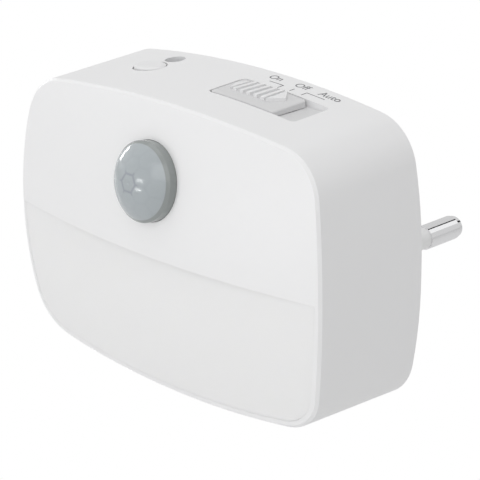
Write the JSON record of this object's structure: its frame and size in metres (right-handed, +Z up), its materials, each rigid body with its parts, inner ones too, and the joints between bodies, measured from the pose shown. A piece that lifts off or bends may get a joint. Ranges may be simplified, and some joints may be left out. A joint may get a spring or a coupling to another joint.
{
  "type": "plug-in night light",
  "caption": "Plug-in motion-sensor night light: rounded white case with a domed sensor lens, scooped light diffuser, slide switch and push button on top, and a two-pin plug behind.",
  "frame": {"origin": "middle of the plug's face, midway between the two pins where they leave it", "axes": "+X to the right of someone who faces the light, -Y out of the lit front, +Y along the pins into the wall, +Z up"},
  "size_m": [0.066, 0.0635, 0.0478],
  "materials": {
    "case_white": "satin white moulded shell",
    "diffuser_milky": "satin milky white",
    "lens_grey": "milky grey-blue, faceted",
    "knob_white": "satin white",
    "inner_white": "matt white",
    "pin_chrome": "polished",
    "sleeve_grey": "matt light grey",
    "board_green": "green lacquer",
    "part_black": "matt black",
    "sensor_metal": "drawn can",
    "screw_steel": "zinc plated",
    "strip_brass": "bare",
    "lamp_yellow": "phosphor over white",
    "window_clear": "smoky clear",
    "film_yellow": "coated",
    "resistor_blue": "coated"
  },
  "bodies": {
    "housing": {"front_case": "case_white", "diffuser": "diffuser_milky", "back_cover": "case_white", "sensor_lens": "lens_grey", "lens_clip": "inner_white", "motion_sensor": "sensor_metal", "sensor_holder": "inner_white", "slide_switch": "part_black", "tact_switch": "part_black", "sensor_window": "window_clear", "photo_sensor": "part_black", "main_board": "board_green", "board_screws": "screw_steel", "case_screws": "screw_steel", "lamps": "lamp_yellow", "light_box": "inner_white", "film_capacitor": "film_yellow", "can_capacitor": "part_black", "fuse_resistor": "resistor_blue", "rectifier": "part_black", "control_chip": "part_black", "pin_left": "pin_chrome", "pin_right": "pin_chrome", "sleeve_left": "sleeve_grey", "sleeve_right": "sleeve_grey", "contact_left": "strip_brass", "contact_right": "strip_brass"},
    "knob": {"slide_knob": "knob_white", "switch_lever": "part_black"},
    "button": {"button_cap": "knob_white", "tact_plunger": "part_black"}
  },
  "joints": [
    {"name": "switch_slide", "type": "slide", "parent": "housing", "child": "knob", "axis": [1, 0, 0], "range_m": [0, 0.0044]},
    {"name": "button_press", "type": "slide", "parent": "housing", "child": "button", "axis": [0, 0, -1], "range_m": [0, 0.0005], "stiffness_N_per_m": 1000, "springref_m": -0.0003}
  ]
}
